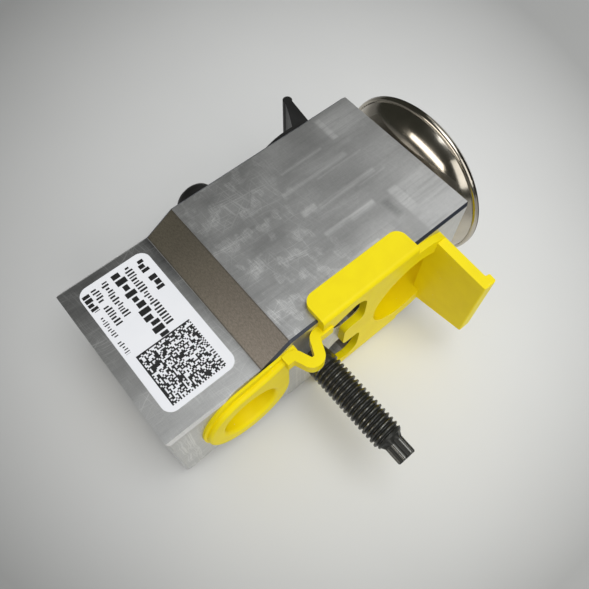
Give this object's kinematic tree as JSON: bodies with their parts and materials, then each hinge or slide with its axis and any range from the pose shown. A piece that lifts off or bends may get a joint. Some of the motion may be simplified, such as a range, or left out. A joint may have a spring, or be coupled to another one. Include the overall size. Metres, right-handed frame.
{
  "type": "thermostatic expansion valve",
  "caption": "Block-type refrigerant expansion valve with a disc-shaped power head, a fixing stud and plastic transport caps pressed into its ports.",
  "frame": {"origin": "where the fixing stud's axis meets the front port face, half way across the block", "axes": "+X along the valve's axis to the power head, -Y out of the front port face along the stud, +Z out of the labelled side"},
  "size_m": [0.0795, 0.0712, 0.0376],
  "materials": {
    "bare_aluminium": "brushed, machined on the slope",
    "black_steel": "black phosphated, bright at the thread crests",
    "yellow_plastic": "satin",
    "black_plastic": "satin",
    "head_steel": "bright, drawn sheet",
    "inner_steel": "bright",
    "inner_aluminium": "turned",
    "inner_brass": "turned",
    "seal_rubber": "moulded",
    "label_film": "matt film"
  },
  "bodies": {
    "valve_body": {"valve_block": "bare_aluminium", "fixing_stud": "black_steel", "head_lower_housing": "head_steel", "head_upper_housing": "head_steel", "diaphragm": "inner_steel", "charge_plug": "inner_steel", "head_seal_ring": "seal_rubber", "rod_seal_ring": "seal_rubber", "rod_seal_retainer": "inner_steel", "superheat_spring": "inner_steel", "adjusting_screw": "inner_brass", "screw_seal_ring": "seal_rubber", "rating_label": "label_film"},
    "valve_train": {"diaphragm_pad": "inner_aluminium", "sensing_rod": "inner_aluminium", "push_pin": "inner_steel", "valve_ball": "inner_steel", "ball_carrier": "inner_brass", "damper_ring": "inner_steel"},
    "front_cap": {"front_transport_cap": "yellow_plastic"},
    "rear_suction_cap": {"rear_suction_cap": "black_plastic"},
    "rear_liquid_cap": {"rear_liquid_cap": "black_plastic"}
  },
  "joints": [
    {"name": "valve_slide", "type": "slide", "parent": "valve_body", "child": "valve_train", "axis": [-1, 0, 0], "range_m": [0, 0.0008], "stiffness_N_per_m": 8000, "springref_m": -0.0005, "deforming": ["superheat_spring"]},
    {"name": "front_cap_pull", "type": "slide", "parent": "valve_body", "child": "front_cap", "axis": [0, -1, 0], "range_m": [0, 0.025]},
    {"name": "rear_suction_cap_pull", "type": "slide", "parent": "valve_body", "child": "rear_suction_cap", "axis": [0, 1, 0], "range_m": [0, 0.02]},
    {"name": "rear_liquid_cap_pull", "type": "slide", "parent": "valve_body", "child": "rear_liquid_cap", "axis": [0, 1, 0], "range_m": [0, 0.02]}
  ]
}
